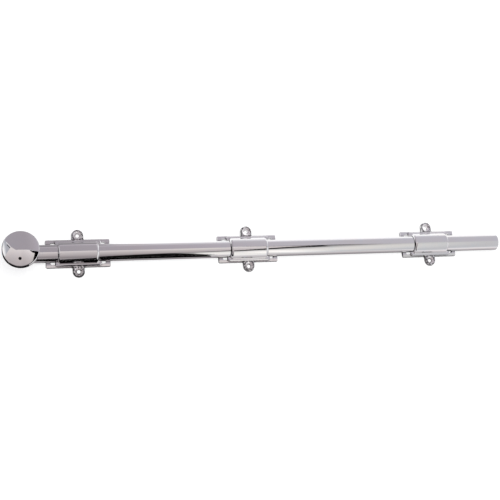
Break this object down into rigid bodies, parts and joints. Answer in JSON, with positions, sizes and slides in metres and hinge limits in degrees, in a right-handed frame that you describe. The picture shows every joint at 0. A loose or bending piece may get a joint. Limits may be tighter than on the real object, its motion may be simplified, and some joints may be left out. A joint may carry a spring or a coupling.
{
  "type": "surface bolt",
  "caption": "Long surface bolt: a half-round bar with a domed round knob slides through arched guides with screw ears, each on a slotted base plate.",
  "frame": {"origin": "on the door's face (z = 0), midway between the two screw holes of the guide nearest the knob", "axes": "+X along the bar from the knob to the bolt's tip, which is the way the bolt is thrown; +Y across the bar; +Z out of the door"},
  "size_m": [0.6608, 0.0594, 0.0363],
  "materials": {
    "bar_chrome": "polished",
    "knob_chrome": "polished",
    "guide_chrome": "polished",
    "plate_chrome": "gloss",
    "spring_steel": "satin",
    "screw_steel": "satin",
    "pin_steel": "satin"
  },
  "bodies": {
    "guides": {"guide_1": "guide_chrome", "guide_2": "guide_chrome", "guide_3": "guide_chrome", "base_plate_1": "plate_chrome", "base_plate_2": "plate_chrome", "base_plate_3": "plate_chrome", "friction_spring_1": "spring_steel", "friction_spring_2": "spring_steel", "friction_spring_3": "spring_steel"},
    "bolt": {"bolt_bar": "bar_chrome", "knob": "knob_chrome", "knob_screw": "screw_steel", "stop_pin": "pin_steel"}
  },
  "joints": [
    {"name": "bolt_throw", "type": "slide", "parent": "guides", "child": "bolt", "axis": [1, 0, 0], "range_m": [0, 0.035]}
  ]
}
